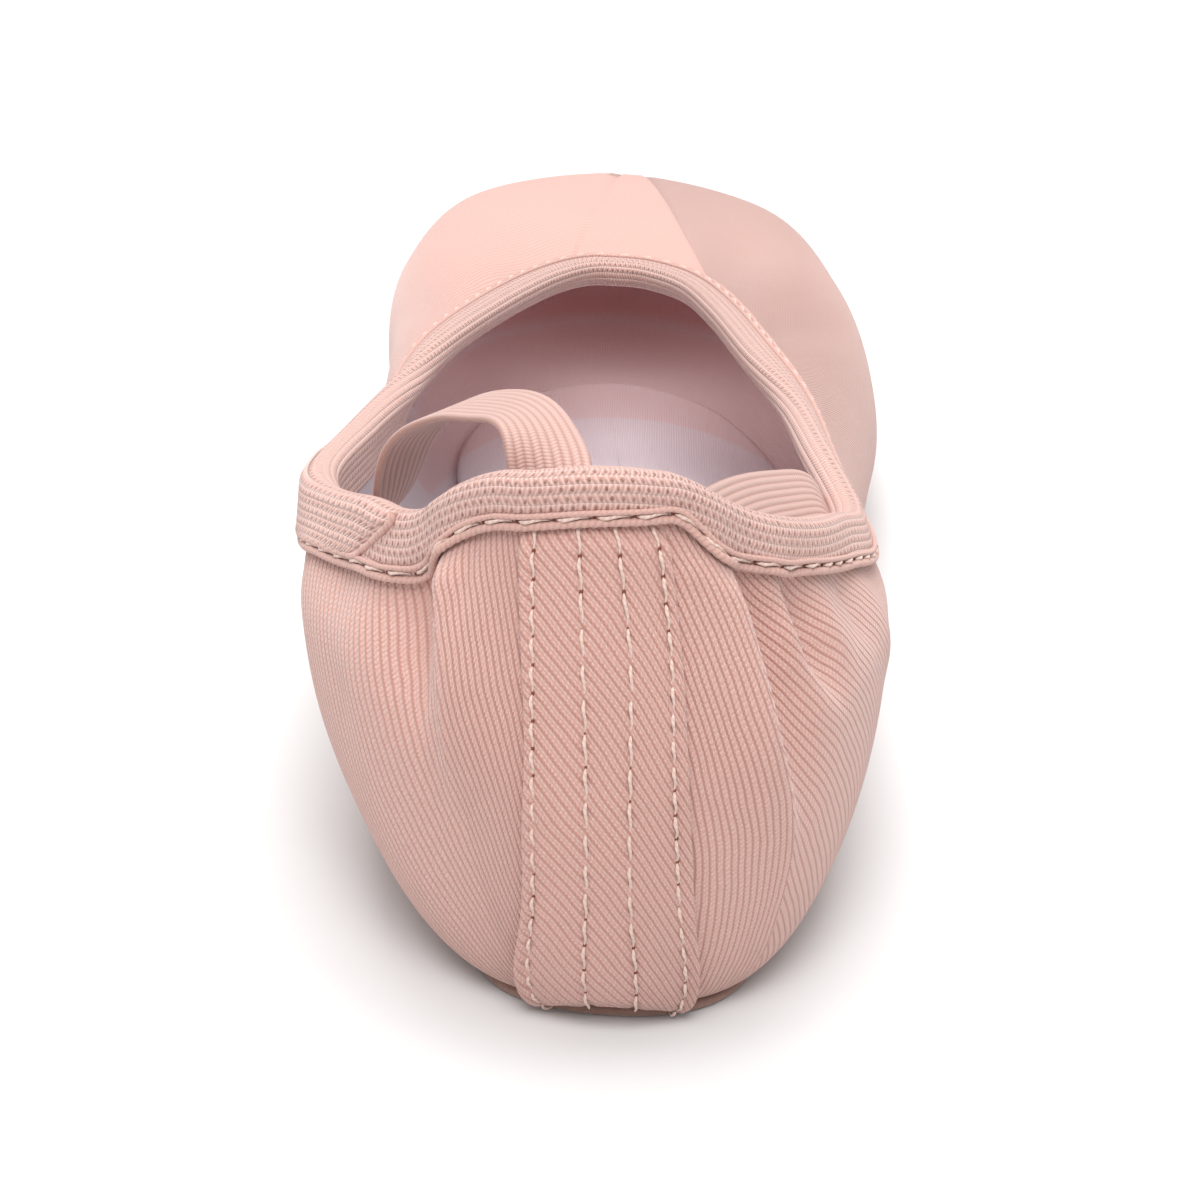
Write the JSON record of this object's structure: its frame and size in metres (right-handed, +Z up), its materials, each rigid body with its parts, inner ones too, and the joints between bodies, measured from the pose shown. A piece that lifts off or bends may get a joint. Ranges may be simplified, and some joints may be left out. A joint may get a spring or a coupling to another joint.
{
  "type": "ballet shoe",
  "caption": "Soft canvas ballet shoe for the right foot, with a gathered toe, knitted collar tape, a strip over the heel and elastic straps folded inside.",
  "frame": {"origin": "on the floor, under the middle of the shoe's bounding box", "axes": "+Y from the heel to the toe, +X to the outer side of the right foot, +Z up from the floor"},
  "size_m": [0.0812, 0.2402, 0.0633],
  "materials": {
    "canvas": "matte",
    "suede": "matte",
    "lining": "matte",
    "tape": "matte",
    "elastic": "satin"
  },
  "bodies": {
    "root": {"upper": "canvas", "sole": "suede", "insole": "lining", "heel_strip": "canvas", "binding": "tape", "strap_inner": "elastic", "strap_outer": "elastic"}
  },
  "joints": []
}
